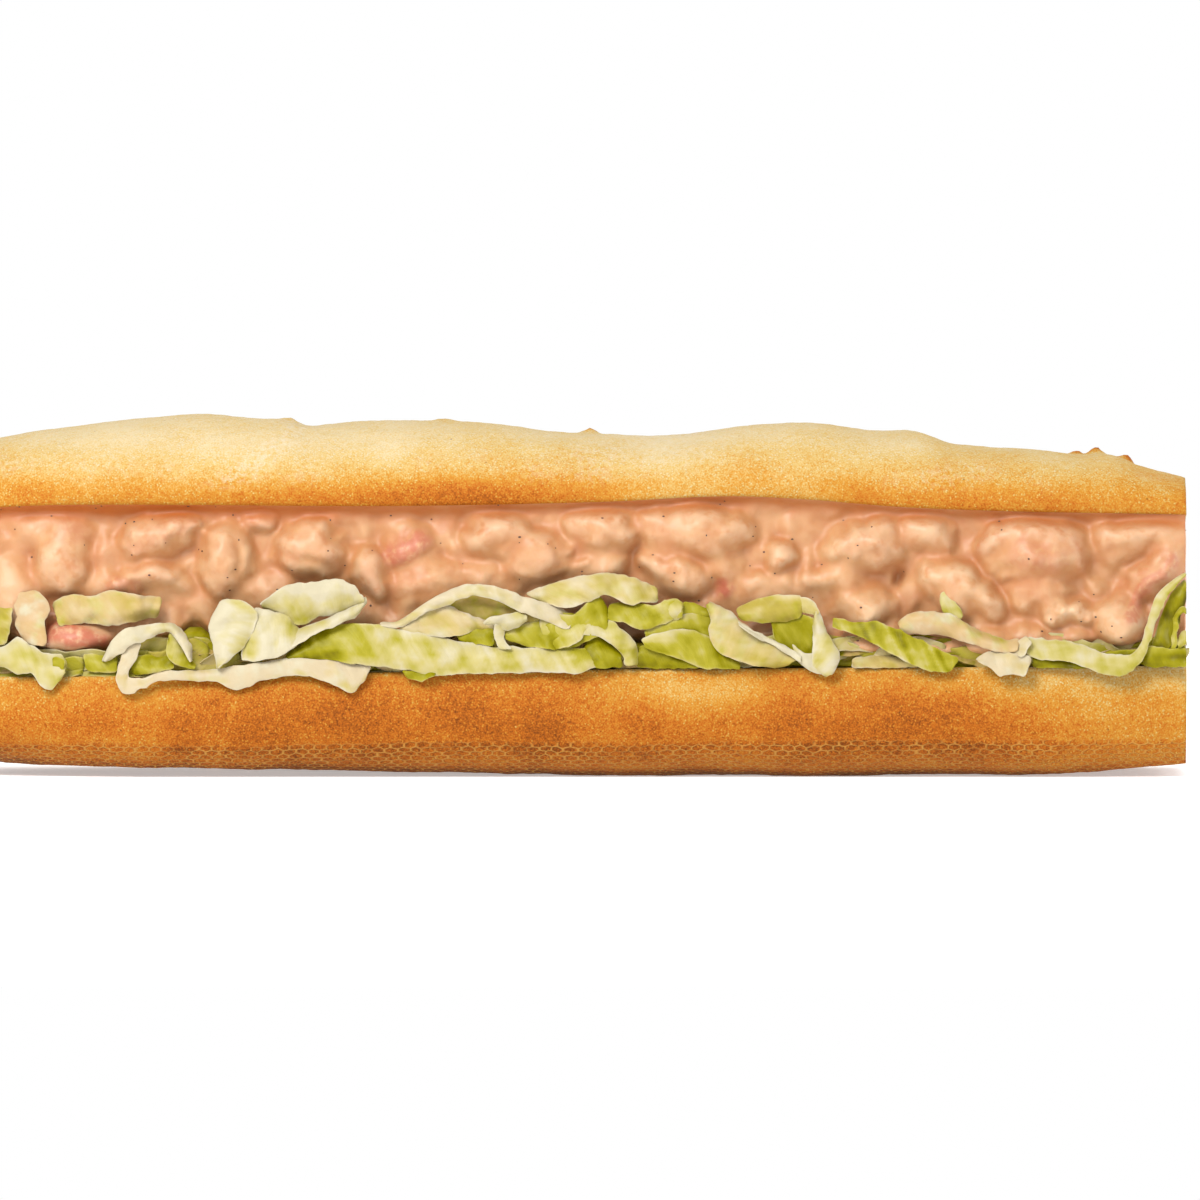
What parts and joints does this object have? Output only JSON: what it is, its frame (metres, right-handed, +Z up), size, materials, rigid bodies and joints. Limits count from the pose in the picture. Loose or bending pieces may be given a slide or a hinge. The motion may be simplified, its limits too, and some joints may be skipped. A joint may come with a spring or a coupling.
{
  "type": "prawn baguette",
  "caption": "Filled baguette split along its length: shredded lettuce and prawns in pink sauce between two crusty halves, with a rounded heel and a square-cut end.",
  "frame": {"origin": "middle of the base of the overall box, on the surface the loaf rests on", "axes": "+X along the loaf from the rounded heel to the square cut, -Y towards the open front, +Z up"},
  "size_m": [0.2651, 0.0671, 0.0727],
  "materials": {
    "baguette_base": "baked crust, deep golden brown",
    "baguette_top": "baked crust, pale golden",
    "prawn_filling": "prawns coated in smooth pink sauce",
    "shredded_lettuce": "crisp pale green leaf"
  },
  "bodies": {
    "root": {"baguette_base": "baguette_base", "baguette_top": "baguette_top", "prawn_filling": "prawn_filling", "shredded_lettuce": "shredded_lettuce"}
  },
  "joints": []
}
